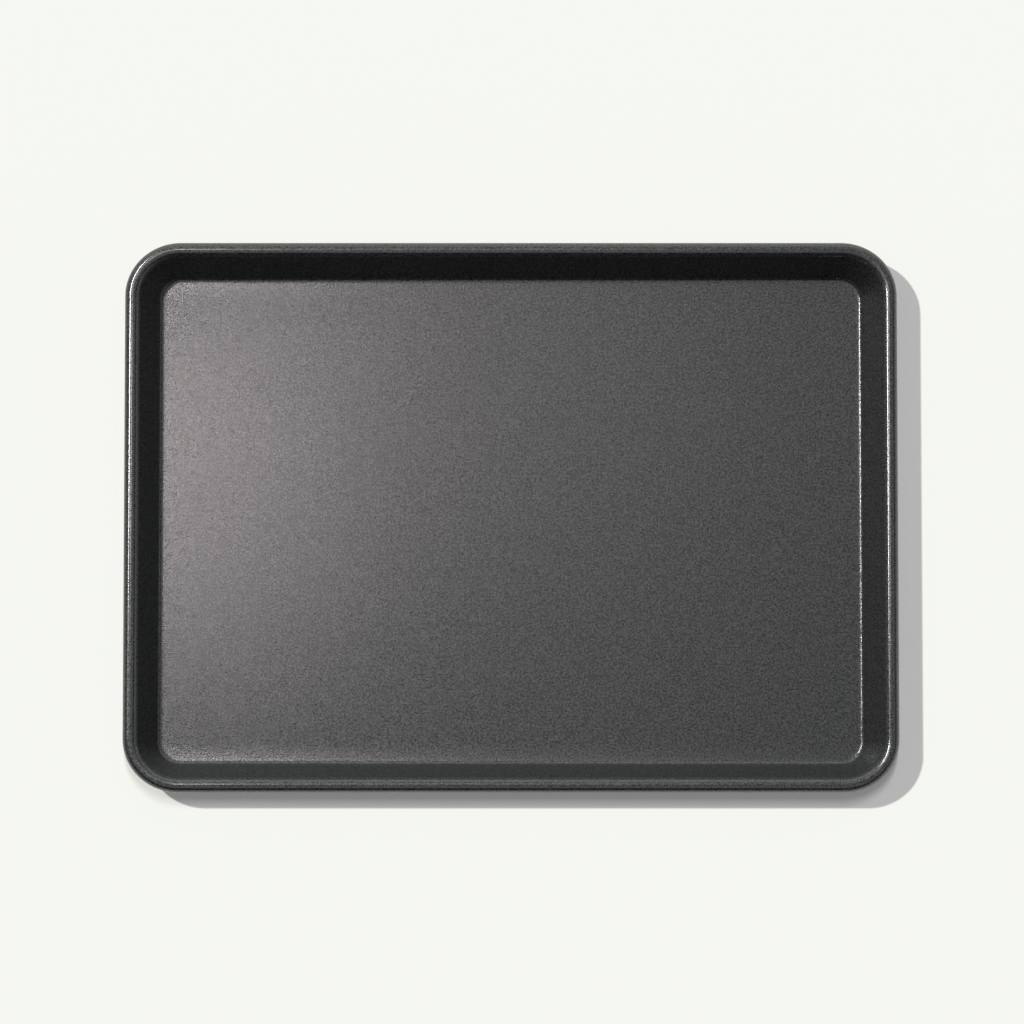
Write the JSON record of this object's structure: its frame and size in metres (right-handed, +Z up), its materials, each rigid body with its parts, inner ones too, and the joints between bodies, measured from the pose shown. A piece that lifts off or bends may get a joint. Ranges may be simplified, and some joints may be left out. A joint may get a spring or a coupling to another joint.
{
  "type": "sheet pan",
  "caption": "Half-size sheet pan of pressed nonstick-coated steel, with a flat floor, sloping walls, rounded corners and a thick rim rolled around a stiffening wire.",
  "frame": {"origin": "middle of the pan's underside, on the surface that it stands on", "axes": "+X along the length, +Y along the width, +Z up out of the open top"},
  "size_m": [0.457, 0.3268, 0.0254],
  "materials": {
    "coated_steel": "satin",
    "wire_steel": "satin"
  },
  "bodies": {
    "root": {"pan_body": "coated_steel", "rim_wire": "wire_steel"}
  },
  "joints": []
}
